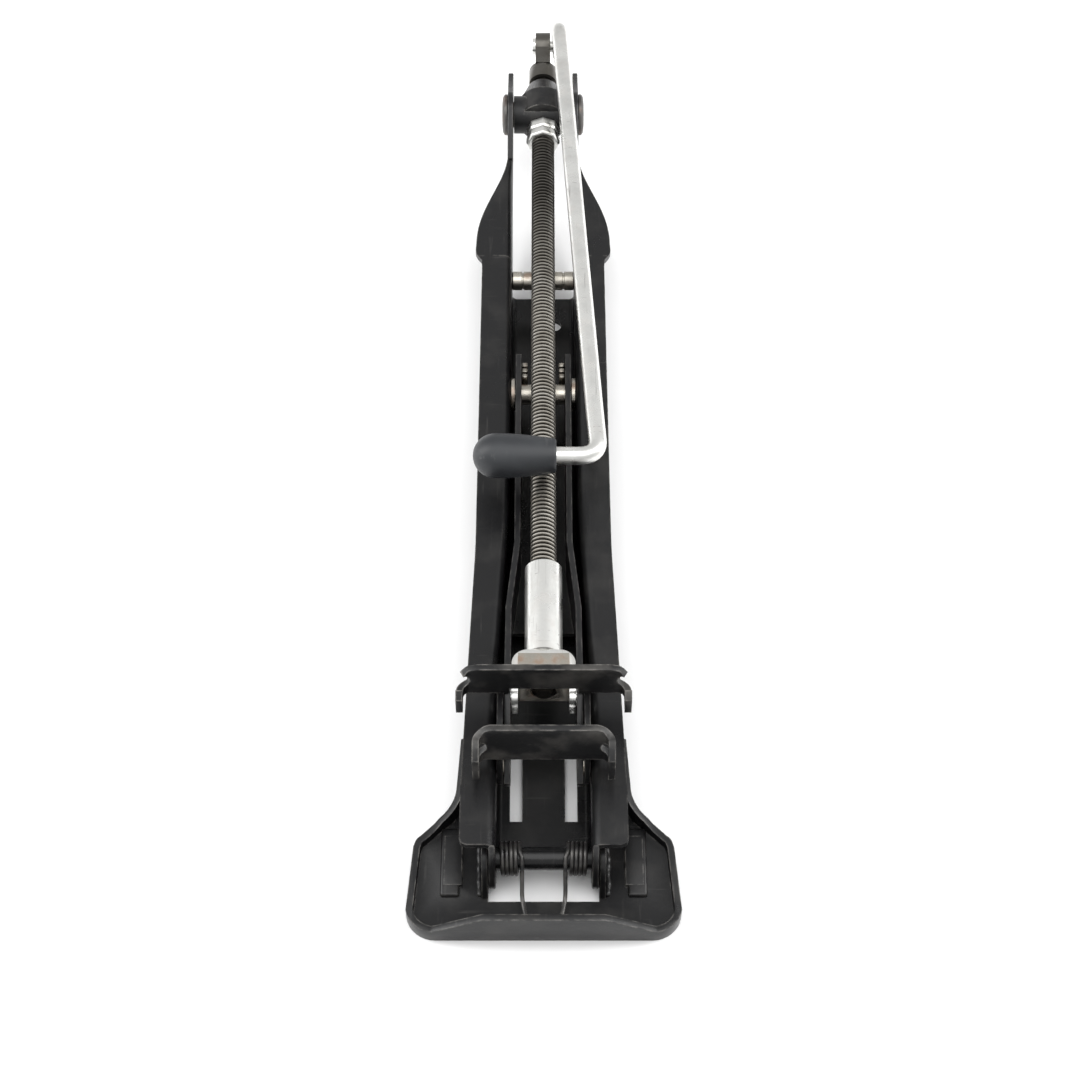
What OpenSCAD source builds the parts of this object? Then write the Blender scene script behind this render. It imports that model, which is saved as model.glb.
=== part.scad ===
// Side-lift screw jack, folded for storage and lying on its back.
// X runs across the jack, Y along the leg from the foot to the crank, Z up from the ground.

/* [Leg] */
// Distance from the foot hinge to the screw trunnion
leg_span = 435; // [400:1:520]
// Depth of the leg channel from its back to the face of its flanges
leg_depth = 36; // [34:0.5:38]
// Sheet thickness of the leg
leg_wall = 2.9; // [2.4:0.1:3.2]
// Half the inside width of the leg at its upper end
leg_half_top = 16; // [15:0.1:19]
// Half the inside width of the leg at the foot hinge
leg_half_foot = 20.7; // [20.5:0.1:25]
// Half the width over the flanges at the upper end
flange_half_top = 31.3; // [27:0.1:35]
// Half the width over the flanges at the foot
flange_half_foot = 36; // [32:0.1:42]

/* [Foot] */
// Width of the foot
foot_w = 121; // [100:1:145]
// Distance from the foot hinge to the front edge of the foot
foot_reach = 32; // [30:0.5:40]
// Height of the turned-up rim of the foot
rim_h = 8; // [6:0.5:11]
// Height of the front lip of the foot at its middle
lip_h = 19.5; // [14:0.5:22]
// Sheet thickness of the foot
foot_wall = 3; // [2.4:0.1:3.6]
// Diameter of the foot hinge pin
foot_pin_d = 10; // [8:0.1:11]

/* [Screw] */
// Outer diameter of the screw thread
screw_d = 12; // [10:0.1:13.5]
// Height of the screw axis above the ground
screw_z = 40; // [39:0.5:44]
// Outer diameter of the spacer sleeve
sleeve_d = 17; // [15.5:0.1:19]
// Length of the spacer sleeve
sleeve_l = 49; // [35:1:60]
// Running clearance between the screw and what it turns in
run_gap = 0.1; // [0.05:0.01:0.1]

/* [Arm] */
// Diameter of the arm hinge pin
arm_pin_d = 10; // [8:0.1:10.4]
// Height of the arm hinge above the ground
arm_pin_z = 26; // [24:0.5:27]
// Sheet thickness of the arm
arm_wall = 2.8; // [2.2:0.1:3.2]
// Distance from the foot hinge to the nut hinge
nut_y = 66; // [64:0.5:70]

/* [Saddle] */
// Width of the rear jaw
rear_jaw_w = 76; // [60:1:90]
// Width of the front jaw
front_jaw_w = 61; // [50:1:74]
// Clear gap between the jaws
jaw_gap = 26; // [22:0.5:28]
// Height of the jaws above the ground
jaw_top = 68; // [62:0.5:74]
// Sheet thickness of the jaws
jaw_wall = 3; // [2.4:0.1:3.6]

/* [Crank] */
// Diameter of the crank rod
rod_d = 8.5; // [7:0.1:9.5]
// Height of the folded crank above the screw axis
crank_rise = 19; // [18.5:0.5:24]
// Distance from the crank hinge to the grip
crank_reach = 300; // [240:1:340]
// Length of the grip
grip_l = 39; // [32:0.5:48]
// Largest diameter of the grip
grip_d = 21; // [17:0.1:23]

/* [Hidden] */
$fn = 64;
// Cuts run this far past the faces they open
over = 1;
// Working clearance between sheets that slide past each other
gap = 0.4;
// Radial clearance of a hinge pin in its hole
pin_fit = 0.05;
// Height of the foot hinge above the ground
foot_pin_z = 14;
// The arm hinge lies halfway between the nut hinge and the trunnion, so that both ends of
// the screw swing through half the angle of the arm
arm_y = (leg_span + nut_y) / 2;
// The leg widens between these two distances from the foot hinge
wide_end = 75;
narrow_start = 180;
flange_top_y = leg_span - 106;
// Layers from the middle outwards: nut bracket, arm, saddle cheek, leg, foot ear
bracket_wall = 2.8;
cradle_wall = 2.6;
cradle_out = leg_half_foot - gap;
cradle_in = cradle_out - cradle_wall;
arm_out = cradle_in - gap;
arm_in = arm_out - arm_wall;
bracket_out = arm_in - gap;
bracket_in = bracket_out - bracket_wall;
arm_out_top = leg_half_top - 2.5;
arm_in_top = arm_out_top - arm_wall;
ear_in = leg_half_foot + leg_wall + gap;
ear_wall = 2.8;
ear_out = ear_in + ear_wall;
stud_d = 8;
saddle_y = nut_y - 28;
saddle_z = 28;
rear_y = nut_y - 1;
front_y = rear_y - jaw_wall - jaw_gap;
rear_low = screw_z + 9.5;
nut_len = 14;
// The arm cheeks end in an arc behind their teeth
arm_end_r = 20;
bracket_face = nut_y + 20;
eye_y = leg_span + 51;
eye_z = screw_z + 3;
rod_z = screw_z + crank_rise;
grip_y = eye_y - crank_reach;
spring_wire = 2;
// The rod is a little thicker at its bends
bend_swell = 0.4;
// The trunnion turns on the necks of two rivets held in the leg
rivet_d = 14;
neck_d = 12;
neck_l = 6;
eye_d = 15;
eye_rivet_d = 6;
rod_x = 8.6;
// The outer rivet head clears the rod beside its flattened end
rod_out = rod_x + (rod_d + bend_swell) / 2 + 0.2;
// The folded jack is centred on its length
top_end = eye_y + eye_d / 2;
mid_y = (top_end - foot_reach) / 2;

black = [0.07, 0.07, 0.075];
zinc = [0.78, 0.78, 0.76];
steel = [0.5, 0.49, 0.46];

// A straight bar of round section between two points
module bar(a, b, d) {
    v = b - a;
    l = norm(v);
    translate(a) rotate([0, acos(v[2] / l), atan2(v[1], v[0])]) cylinder(d = d, h = l);
}

// A cylinder along X, from one X to another, at a place in the side view
module cross(x0, x1, y, z, d) {
    translate([x0, y, z]) rotate([0, 90, 0]) cylinder(d = d, h = x1 - x0);
}

// The same pair of solids on the left and on the right
module both() {
    children();
    mirror([1, 0, 0]) children();
}

// A side-view outline, drawn in Y and Z, given a thickness along X
module side(x0, x1) {
    translate([x0, 0, 0]) rotate([90, 0, 90]) linear_extrude(height = x1 - x0) children();
}

// Points of an arc in the drawing plane
function arc(cx, cy, r, a0, a1, n = 12) =
    [for (i = [0:n]) [cx + r * cos(a0 + (a1 - a0) * i / n), cy + r * sin(a0 + (a1 - a0) * i / n)]];

// ---- leg ----

module leg_side() {
    ear_r = 13;
    polygon(concat(
        arc(0, foot_pin_z, foot_pin_z - 1, 180, 270),
        [[8, 0], [flange_top_y + 4, 0], [flange_top_y + 40, 12], [leg_span - 22, screw_z - 12]],
        [[leg_span + 31, screw_z - 9]],
        arc(leg_span + 27, screw_z, 4, 0, 90, 6),
        arc(leg_span, screw_z, ear_r, 60, 120, 6),
        [[leg_span - 35, leg_depth], [-5, leg_depth]]));
}

module leg_plan(inset) {
    polygon([[0, -20], [leg_half_foot + inset, -20], [leg_half_foot + inset, wide_end],
        [leg_half_top + inset, narrow_start], [leg_half_top + inset, leg_span + 40],
        [0, leg_span + 40]]);
}

module flange_plan() {
    polygon(concat(
        [[leg_half_foot, -5], [flange_half_foot - 3, -5], [flange_half_foot, -2],
        [flange_half_foot, 21], [flange_half_foot - 2.3, 90], [flange_half_top + 0.3, 150],
        [flange_half_top, flange_top_y], [flange_half_top + 3.4, flange_top_y + 7]],
        [for (i = [0:10]) let (u = i / 10)
        [flange_half_top + 3.4 - (flange_half_top + 3.4 - leg_half_top - leg_wall)
        * (1 - cos(180 * u)) / 2 * (0.6 + 0.4 * u), flange_top_y + 14 + 62 * u]],
        [[leg_half_top, flange_top_y + 76], [leg_half_top, narrow_start],
        [leg_half_foot, wide_end]]));
}

// Two windows in the back of the leg, each with a small hook cut
module web_windows() {
    both() {
        translate([9.5, 24, -over]) cube([5.5, 40, leg_wall + 2 * over]);
        translate([13, 50, -over]) cube([4.5, 5, leg_wall + 2 * over]);
    }
    translate([5.5, arm_y + 66, -over]) cylinder(d = 8, h = leg_wall + 2 * over);
}

module main_leg() {
    color(black) difference() {
        union() {
            both() intersection() {
                linear_extrude(height = screw_z + 20) difference() {
                    leg_plan(leg_wall);
                    leg_plan(0);
                }
                side(0, flange_half_foot) leg_side();
            }
            both() translate([0, 0, leg_depth - leg_wall])
                linear_extrude(height = leg_wall) flange_plan();
            difference() {
                intersection() {
                    both() linear_extrude(height = leg_wall) leg_plan(over);
                    translate([-50, 5, 0]) cube([100, flange_top_y + 6, leg_wall]);
                }
                web_windows();
            }
            translate([0, 7, 0]) cylinder(d = 9, h = leg_wall);
        }
        cross(-50, 50, 0, foot_pin_z, foot_pin_d);
        cross(-50, 50, leg_span, screw_z, rivet_d);
    }
}

module leg_cross_pin() {
    color(zinc) cross(-leg_half_top, leg_half_top, arm_y + 78, 24, 9.6);
}

module arm_hinge_pin() {
    color(zinc) cross(-leg_half_top, leg_half_top, arm_y, arm_pin_z, arm_pin_d);
}

module arm_spacers() {
    color(steel) both() difference() {
        cross(arm_out_top + 0.2, leg_half_top, arm_y, arm_pin_z, arm_pin_d + 6);
        cross(0, leg_half_top + over, arm_y, arm_pin_z, arm_pin_d);
    }
}

// ---- foot ----

module foot_outline() {
    half = foot_w / 2;
    polygon(concat(
        [[0, -foot_reach]],
        arc(half - 14, -foot_reach + 13, 13, -90, -10, 8),
        [[half - 3.5, 9]],
        arc(half - 9, 10, 5, 10, 60, 4),
        arc(half - 6, 36, 16, 238, 185, 6),
        [[half - 23.5, 60], [ear_in, 60], [ear_in, -foot_reach + 17], [0, -foot_reach + 17]]));
}

module foot_rim() {
    difference() {
        linear_extrude(height = lip_h) foot_outline();
        translate([0, 0, -over]) linear_extrude(height = lip_h + 2 * over) offset(delta = -foot_wall)
            union() {
                foot_outline();
                translate([-10, -foot_reach, 0]) square([ear_in + 14, 92 + over]);
                translate([-10, 56, 0]) square([foot_w / 2 - 13.5, 12]);
            }
        // The rim drops from the lip to the sides
        rotate([90, 0, 0]) translate([0, 0, -70]) linear_extrude(height = 110)
            polygon([[26, lip_h + over], [26, lip_h], [48, rim_h], [90, rim_h], [90, lip_h + over]]);
        translate([-over, -foot_reach + foot_wall, foot_wall]) cube([ear_out, 100, lip_h]);
    }
}

module foot_plate() {
    color(black) both() {
        linear_extrude(height = foot_wall) foot_outline();
        foot_rim();
        translate([foot_w / 2 - 25, -8, 0]) cube([8, 24, foot_wall + 2]);
    }
}

module foot_ears() {
    color(black) both() difference() {
        side(ear_in, ear_out) polygon(concat([[-14, foot_wall], [24, foot_wall]],
            arc(0, foot_pin_z, 10, 35, 145, 10)));
        cross(0, 50, 0, foot_pin_z, foot_pin_d + 2 * pin_fit);
    }
}

module foot_hinge_pin() {
    color(steel) cross(-ear_out - 0.6, ear_out + 0.6, 0, foot_pin_z, foot_pin_d);
}

module foot_springs() {
    coil_out = foot_pin_d / 2 + 0.6 + spring_wire;
    coil_in = foot_pin_d / 2 + 0.6;
    color(steel) both() {
        difference() {
            cross(leg_half_foot - 10.5, leg_half_foot - 0.8, 0, foot_pin_z, 2 * coil_out);
            cross(0, 50, 0, foot_pin_z, 2 * coil_in);
        }
        bar([leg_half_foot - 9.5, 0, foot_pin_z - coil_in - spring_wire / 2],
            [leg_half_foot - 9.5, -17, foot_pin_z - 7], spring_wire);
        bar([leg_half_foot - 9.5, -17, foot_pin_z - 7],
            [7.5, -foot_reach + foot_wall + spring_wire / 2 - 0.1, foot_pin_z - 4], spring_wire);
    }
}

// ---- arm ----

module arm_plan(inset) {
    polygon([[0, 20], [arm_in + inset, 20], [arm_in + inset, 115],
        [arm_in_top + inset, 152], [arm_in_top + inset, arm_y + 30], [0, arm_y + 30]]);
}

module arm_side() {
    polygon(concat(
        arc(saddle_y, saddle_z, 9, 180, 270, 8),
        [[nut_y + 10, 15], [140, 9], [arm_y - 12, 9]],
        arc(arm_y, arm_pin_z, arm_end_r, -70, 38, 14),
        [[arm_y - 12, 38], [nut_y + 40, 38]],
        arc(nut_y, screw_z, 8, 70, 120, 6)));
}

module lifting_arm() {
    color(black) difference() {
        union() {
            both() intersection() {
                linear_extrude(height = screw_z + 20) difference() {
                    arm_plan(arm_wall);
                    arm_plan(0);
                }
                side(0, 50) arm_side();
            }
            intersection() {
                both() linear_extrude(height = 40) arm_plan(over);
                translate([-50, 118, 9]) cube([100, arm_y - 145, arm_wall]);
            }
        }
        cross(-50, 50, arm_y, arm_pin_z, arm_pin_d + 2 * pin_fit);
        cross(-50, 50, nut_y, screw_z, stud_d);
        cross(-50, 50, saddle_y, saddle_z, stud_d);
    }
}

// Three short teeth on the upper end of each arm cheek
module arm_teeth() {
    tooth_pitch = 4.4;
    color(zinc) both() for (i = [0:2])
        translate([arm_in_top - 3, arm_y + 7 + i * tooth_pitch, arm_pin_z - 3])
            cube([3, 2.4, 8 - i]);
}

// ---- saddle ----

module saddle_cradle() {
    color(black) both() difference() {
        side(cradle_in, cradle_out) polygon(concat(
            arc(saddle_y, saddle_z, 8, 180, 270, 8),
            [[rear_y - 6, 30], [rear_y - jaw_wall, 38], [rear_y - jaw_wall, 50],
            [front_y, 50], [front_y, 42]]));
        cross(0, 50, saddle_y, saddle_z, stud_d + 2 * pin_fit);
    }
}

// A jaw is a plate with rounded upper corners, turned back at both ends
module jaw_face(w, low, top) {
    r = 7;
    polygon(concat([[-w / 2, low], [w / 2, low]],
        arc(w / 2 - r, top - r, r, 0, 90, 8), arc(-w / 2 + r, top - r, r, 90, 180, 8)));
}

module jaw(w, low, top, y, turn) {
    difference() {
        union() {
            translate([0, y, 0]) rotate([90, 0, 0]) linear_extrude(height = jaw_wall)
                jaw_face(w, low, top);
            both() difference() {
                translate([w / 2 - jaw_wall, y - turn, low]) cube([jaw_wall, turn, top - low - 7]);
                translate([w / 2 - 10, y - turn - 4, low + 3]) rotate([0, 90, 0])
                    cylinder(r = turn * 0.62, h = 20);
            }
        }
        // The round notch that locates the sill
        both() translate([w / 2 - 1, y + over, low + 10]) rotate([90, 0, 0])
            cylinder(r = 5, h = jaw_wall + 2 * over);
    }
}

module rear_jaw() {
    color(black) {
        difference() {
            jaw(rear_jaw_w, rear_low, jaw_top, rear_y, 13);
            // The nut swings up into this notch as the arm rises
            translate([-bracket_out - 0.9, rear_y - jaw_wall - over, rear_low - over])
                cube([2 * bracket_out + 1.8, jaw_wall + 2 * over, over + 3.5]);
        }
        // Two tabs carry the plate down beside the cradle cheeks
        both() translate([cradle_in, rear_y - jaw_wall, 38])
            cube([cradle_wall, jaw_wall, rear_low - 38 + 0.5]);
    }
}

module front_jaw() {
    color(black) jaw(front_jaw_w, leg_depth + 6, jaw_top - 2, front_y, 13);
}

module saddle_studs() {
    color(zinc) both() cross(arm_in, cradle_out, saddle_y, saddle_z, stud_d);
}

// ---- nut ----

module nut_bracket() {
    r = 7;
    color(zinc) difference() {
        union() {
            both() side(bracket_in, bracket_out) polygon(concat(
                arc(nut_y, screw_z, 7.5, 90, 270, 12),
                [[bracket_face - r + 1, screw_z - 7.5], [bracket_face - r + 1, screw_z + 7.5]]));
            translate([0, 0, screw_z - 7.5]) linear_extrude(height = 15) difference() {
                polygon(concat([[-bracket_out, bracket_face - r]],
                    [[bracket_out, bracket_face - r]],
                    arc(bracket_out - r, bracket_face - r, r, 0, 90, 8),
                    arc(-bracket_out + r, bracket_face - r, r, 90, 180, 8)));
                translate([-bracket_in, bracket_face - r - over])
                    square([2 * bracket_in, r - bracket_wall + over]);
            }
        }
        translate([0, bracket_face + over, screw_z]) rotate([90, 0, 0])
            cylinder(d = screw_d + 0.8, h = 2 * r);
        cross(-50, 50, nut_y, screw_z, stud_d + 2 * pin_fit);
    }
}

module nut_studs() {
    color(zinc) both() cross(bracket_in, arm_out, nut_y, screw_z, stud_d);
}

module screw_nut() {
    color(steel) difference() {
        translate([-bracket_in, bracket_face - bracket_wall - nut_len, screw_z - 9])
            cube([2 * bracket_in, nut_len, 18]);
        translate([0, bracket_face, screw_z]) rotate([90, 0, 0])
            cylinder(d = screw_d + 2 * run_gap, h = 40);
    }
}

module spacer_sleeve() {
    color(zinc) difference() {
        translate([0, bracket_face + sleeve_l, screw_z]) rotate([90, 0, 0])
            cylinder(d = sleeve_d, h = sleeve_l);
        translate([0, bracket_face + sleeve_l + over, screw_z]) rotate([90, 0, 0])
            cylinder(d = screw_d + 0.8, h = sleeve_l + 2 * over);
    }
}

// ---- trunnion and screw ----

module trunnion_block() {
    color(black) difference() {
        union() {
            cross(-leg_half_top + gap, leg_half_top - gap, leg_span, screw_z, 20);
            translate([0, leg_span + 19, screw_z]) rotate([90, 0, 0])
                cylinder(d1 = 17, d2 = 26, h = 12);
            translate([0, leg_span + 8, screw_z]) rotate([90, 0, 0])
                cylinder(d = 26, h = 14);
        }
        translate([0, leg_span + 30, screw_z]) rotate([90, 0, 0])
            cylinder(d = 10 + 2 * run_gap, h = 60);
        cross(leg_half_top - neck_l, 30, leg_span, screw_z, neck_d + 2 * pin_fit);
        cross(-30, -leg_half_top + neck_l, leg_span, screw_z, neck_d + 2 * pin_fit);
    }
}

module trunnion_rivets() {
    head_out = leg_half_top + leg_wall;
    color(zinc) both() {
        cross(leg_half_top - neck_l, leg_half_top - gap, leg_span, screw_z, neck_d);
        cross(leg_half_top - gap, head_out, leg_span, screw_z, rivet_d);
        cross(head_out, head_out + 3, leg_span, screw_z, rivet_d + 8);
    }
}

// The collar is crimped on the screw and bears on the trunnion
module thrust_collar() {
    color(zinc) difference() {
        translate([0, leg_span - 10.5, screw_z]) rotate([90, 0, 0]) cylinder(d = 18, h = 12);
        translate([0, leg_span, screw_z]) rotate([90, 0, 0]) cylinder(d = screw_d, h = 40);
    }
}

module screw() {
    color(steel) union() {
        translate([0, leg_span - 11, screw_z]) rotate([90, 0, 0])
            cylinder(d = screw_d, h = leg_span - 11 - nut_y - 1);
        translate([0, leg_span + 24, screw_z]) rotate([90, 0, 0]) cylinder(d = 10, h = 36);
    }
}

module screw_eye() {
    color(steel) difference() {
        union() {
            translate([0, leg_span + 34, screw_z]) rotate([90, 0, 0]) cylinder(d = eye_d, h = 10);
            translate([-4, leg_span + 33, screw_z - 7]) cube([8, 18, 15]);
            cross(-4, 4, eye_y, eye_z, eye_d);
        }
        cross(-20, 20, eye_y, eye_z, eye_rivet_d);
    }
}

// ---- crank ----

// Centre line of the crank, from its flattened end to the grip
crank_line = [[rod_x, eye_y, eye_z + 1], [rod_x, eye_y + 3, eye_z + 9], [rod_x + 0.4, eye_y - 6, rod_z],
    [24.5, grip_y + 22, rod_z], [26, grip_y + 9, rod_z], [17, grip_y, rod_z],
    [-26, grip_y, rod_z]];

module crank_rod() {
    color(zinc) difference() {
        union() {
            for (i = [0:len(crank_line) - 2]) bar(crank_line[i], crank_line[i + 1], rod_d);
            for (i = [1:len(crank_line) - 2]) translate(crank_line[i]) sphere(d = rod_d + bend_swell);
            cross(4.6, 10.6, eye_y, eye_z, 13);
        }
        cross(-20, 30, eye_y, eye_z, eye_rivet_d + 2 * pin_fit);
        translate([-50 + 4.4, eye_y - 30, eye_z - 20]) cube([50, 60, 30]);
    }
}

module crank_rivet() {
    color(zinc) {
        cross(-4.6, rod_out, eye_y, eye_z, eye_rivet_d);
        cross(rod_out, rod_out + 2, eye_y, eye_z, eye_rivet_d + 4);
        cross(-6, -4, eye_y, eye_z, eye_rivet_d + 4);
    }
}

// The grip turns on the end of the rod
module crank_grip() {
    r = grip_d / 2;
    end_r = r * 0.76;
    x0 = 6;
    color([0.09, 0.1, 0.11]) difference() {
        translate([x0, grip_y, rod_z]) rotate([0, -90, 0]) rotate_extrude()
            polygon(concat([[0, 0], [end_r, 0]], [[r, grip_l - r * 1.1]],
                arc(0, grip_l - r, r, -3, 90, 14)));
        cross(-27, x0 + over, grip_y, rod_z, rod_d + 2 * pin_fit);
    }
}

module placed() {
    translate([0, -mid_y, 0]) children();
}

placed() main_leg();
placed() leg_cross_pin();
placed() arm_hinge_pin();
placed() arm_spacers();
placed() foot_plate();
placed() foot_ears();
placed() foot_hinge_pin();
placed() foot_springs();
placed() lifting_arm();
placed() arm_teeth();
placed() saddle_cradle();
placed() rear_jaw();
placed() front_jaw();
placed() saddle_studs();
placed() nut_bracket();
placed() nut_studs();
placed() screw_nut();
placed() spacer_sleeve();
placed() trunnion_block();
placed() trunnion_rivets();
placed() thrust_collar();
placed() screw();
placed() screw_eye();
placed() crank_rod();
placed() crank_rivet();
placed() crank_grip();
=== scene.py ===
import math
import random
import bmesh
import bpy
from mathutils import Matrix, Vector


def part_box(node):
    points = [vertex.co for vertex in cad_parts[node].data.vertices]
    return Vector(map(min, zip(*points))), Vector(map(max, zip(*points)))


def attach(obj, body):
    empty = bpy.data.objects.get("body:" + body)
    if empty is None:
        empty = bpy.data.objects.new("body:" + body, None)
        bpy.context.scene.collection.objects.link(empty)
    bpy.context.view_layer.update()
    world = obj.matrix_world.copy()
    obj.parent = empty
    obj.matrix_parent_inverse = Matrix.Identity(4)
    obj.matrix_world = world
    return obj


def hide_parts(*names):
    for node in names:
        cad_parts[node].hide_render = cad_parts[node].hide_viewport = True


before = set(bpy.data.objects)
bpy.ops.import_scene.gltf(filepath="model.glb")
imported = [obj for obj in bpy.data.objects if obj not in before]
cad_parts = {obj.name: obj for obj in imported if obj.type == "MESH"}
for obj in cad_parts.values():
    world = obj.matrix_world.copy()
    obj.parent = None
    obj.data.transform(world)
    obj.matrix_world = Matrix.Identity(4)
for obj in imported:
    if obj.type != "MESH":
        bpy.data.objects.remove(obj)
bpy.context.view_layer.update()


# ---- The leg channel ----
# The leg is one pressing of 3 mm steel sheet. Its cheeks are turned out into two long flanges,
# with rounded bends, and it is dipped in black enamel after welding.
random.seed(7)
hinge_low, hinge_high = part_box("foot_hinge_pin")
hinge_y = (hinge_low.y + hinge_high.y) / 2
MM = 0.001


def place(x, t, z):
    """A point in metres, from millimetres across, along from the foot hinge, and up."""
    return Vector((x * MM, hinge_y + t * MM, z * MM))


def group_tree(name, inputs, outputs):
    """An empty shader node group with its sockets, and its two end nodes."""
    tree = bpy.data.node_groups.new(name, "ShaderNodeTree")
    for label, default in inputs:
        socket = tree.interface.new_socket(name=label, in_out="INPUT", socket_type="NodeSocketFloat")
        socket.default_value = default
    for label in outputs:
        tree.interface.new_socket(name=label, in_out="OUTPUT", socket_type="NodeSocketFloat")
    return tree, tree.nodes.new("NodeGroupInput"), tree.nodes.new("NodeGroupOutput")


def ramp(tree, source, low, high, to_low=0.0, to_high=1.0):
    """A clamped map of one value range on to another."""
    node = tree.nodes.new("ShaderNodeMapRange")
    node.inputs["From Min"].default_value = low
    node.inputs["From Max"].default_value = high
    node.inputs["To Min"].default_value = to_low
    node.inputs["To Max"].default_value = to_high
    tree.links.new(source, node.inputs["Value"])
    return node.outputs["Result"]


def times(tree, a, b):
    """The product of two values."""
    node = tree.nodes.new("ShaderNodeMath")
    node.operation = "MULTIPLY"
    tree.links.new(a, node.inputs[0])
    tree.links.new(b, node.inputs[1])
    return node.outputs[0]


def noise(tree, scale, detail=4.0, stretch=(1, 1, 1)):
    """Noise over the piece's own metres."""
    where = tree.nodes.new("ShaderNodeTexCoord")
    turn = tree.nodes.new("ShaderNodeMapping")
    turn.inputs["Scale"].default_value = stretch
    grain = tree.nodes.new("ShaderNodeTexNoise")
    grain.inputs["Detail"].default_value = detail
    tree.links.new(where.outputs["Object"], turn.inputs["Vector"])
    tree.links.new(turn.outputs["Vector"], grain.inputs["Vector"])
    if isinstance(scale, (int, float)):
        grain.inputs["Scale"].default_value = scale
    else:
        tree.links.new(scale, grain.inputs["Scale"])
    return grain.outputs["Fac"]


# Edge wear: light where a corner turns within the radius, broken up by noise
edge_wear, g_in, g_out = group_tree(
    "edge_wear", [("Radius", 0.001), ("Breakup Scale", 260.0), ("Amount", 1.0)], ["Mask"]
)
round_off = edge_wear.nodes.new("ShaderNodeBevel")
round_off.samples = 4
edge_wear.links.new(g_in.outputs["Radius"], round_off.inputs["Radius"])
facing = edge_wear.nodes.new("ShaderNodeNewGeometry")
compare = edge_wear.nodes.new("ShaderNodeVectorMath")
compare.operation = "DOT_PRODUCT"
edge_wear.links.new(round_off.outputs["Normal"], compare.inputs[0])
edge_wear.links.new(facing.outputs["Normal"], compare.inputs[1])
corner = ramp(edge_wear, compare.outputs["Value"], 0.995, 0.88)
broken = ramp(edge_wear, noise(edge_wear, g_in.outputs["Breakup Scale"]), 0.42, 0.6)
worn = times(edge_wear, times(edge_wear, corner, broken), g_in.outputs["Amount"])
edge_wear.links.new(worn, g_out.inputs["Mask"])

# Blotches: broad soft patches, for grease, dust and uneven gloss
blotches, g_in, g_out = group_tree("blotches", [("Scale", 40.0), ("Low", 0.4), ("High", 0.65)], ["Mask"])
patch = blotches.nodes.new("ShaderNodeMapRange")
blotches.links.new(noise(blotches, g_in.outputs["Scale"], 6.0), patch.inputs["Value"])
blotches.links.new(g_in.outputs["Low"], patch.inputs["From Min"])
blotches.links.new(g_in.outputs["High"], patch.inputs["From Max"])
blotches.links.new(patch.outputs["Result"], g_out.inputs["Mask"])

# Scratches: fine streaks along the piece, only here and there
scratches, g_in, g_out = group_tree("scratches", [("Scale", 600.0), ("Amount", 1.0)], ["Mask"])
streak = ramp(scratches, noise(scratches, g_in.outputs["Scale"], 2.0, (1, 0.06, 1)), 0.62, 0.7)
cross_streak = ramp(scratches, noise(scratches, g_in.outputs["Scale"], 2.0, (0.07, 1, 1)), 0.66, 0.72)
both_ways = scratches.nodes.new("ShaderNodeMath")
both_ways.operation = "MAXIMUM"
scratches.links.new(streak, both_ways.inputs[0])
scratches.links.new(cross_streak, both_ways.inputs[1])
where_scratched = ramp(scratches, noise(scratches, 35.0), 0.45, 0.6)
marks = times(scratches, times(scratches, both_ways.outputs[0], where_scratched), g_in.outputs["Amount"])
scratches.links.new(marks, g_out.inputs["Mask"])


def use(tree, group, **values):
    """One of the shared effects placed in a material, and its mask."""
    node = tree.nodes.new("ShaderNodeGroup")
    node.node_tree = group
    for label, value in values.items():
        node.inputs[label.replace("_", " ")].default_value = value
    return node.outputs["Mask"]


def tint(tree, base, over, mask):
    """A colour laid over another by a mask. Either may be plain numbers or a socket."""
    node = tree.nodes.new("ShaderNodeMix")
    node.data_type = "RGBA"
    for label, colour in (("A", base), ("B", over)):
        socket = [s for s in node.inputs if s.name == label and s.type == "RGBA"][0]
        if isinstance(colour, tuple):
            socket.default_value = (*colour, 1)
        else:
            tree.links.new(colour, socket)
    tree.links.new(mask, node.inputs["Factor"])
    return [s for s in node.outputs if s.type == "RGBA"][0]


def new_finish(name):
    """A material with an empty Principled shader, and its node tree."""
    material = bpy.data.materials.new(name)
    material.use_nodes = True
    return material, material.node_tree, material.node_tree.nodes["Principled BSDF"]


def bump(tree, shader, height, strength, distance):
    """Relief from a height value."""
    node = tree.nodes.new("ShaderNodeBump")
    node.inputs["Strength"].default_value = strength
    node.inputs["Distance"].default_value = distance
    tree.links.new(height, node.inputs["Height"])
    tree.links.new(node.outputs["Normal"], shader.inputs["Normal"])


def enamel(name, wear, dust, rough_low, rough_high):
    """Black dip enamel: bare grey at worn edges, dust in patches, slight orange peel."""
    material, tree, shader = new_finish(name)
    edge = use(tree, edge_wear, Radius=0.0011, Breakup_Scale=210.0, Amount=wear)
    dusty = use(tree, blotches, Scale=55.0, Low=0.5, High=0.78)
    marked = use(tree, scratches, Scale=520.0, Amount=0.16)
    colour = tint(tree, (0.0065, 0.0065, 0.007), (0.09, 0.085, 0.078), ramp(tree, dusty, 0, 1, 0, dust))
    colour = tint(tree, colour, (0.11, 0.105, 0.1), marked)
    colour = tint(tree, colour, (0.2, 0.19, 0.175), edge)
    tree.links.new(colour, shader.inputs["Base Color"])
    gloss = use(tree, blotches, Scale=24.0, Low=0.3, High=0.7)
    tree.links.new(ramp(tree, gloss, 0, 1, rough_low, rough_high), shader.inputs["Roughness"])
    shader.inputs["Specular IOR Level"].default_value = 0.36
    bump(tree, shader, noise(tree, 520.0, 2.0), 0.12, 0.0004)
    return material


black_enamel = enamel("black_enamel", 0.45, 0.16, 0.24, 0.36)


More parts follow.
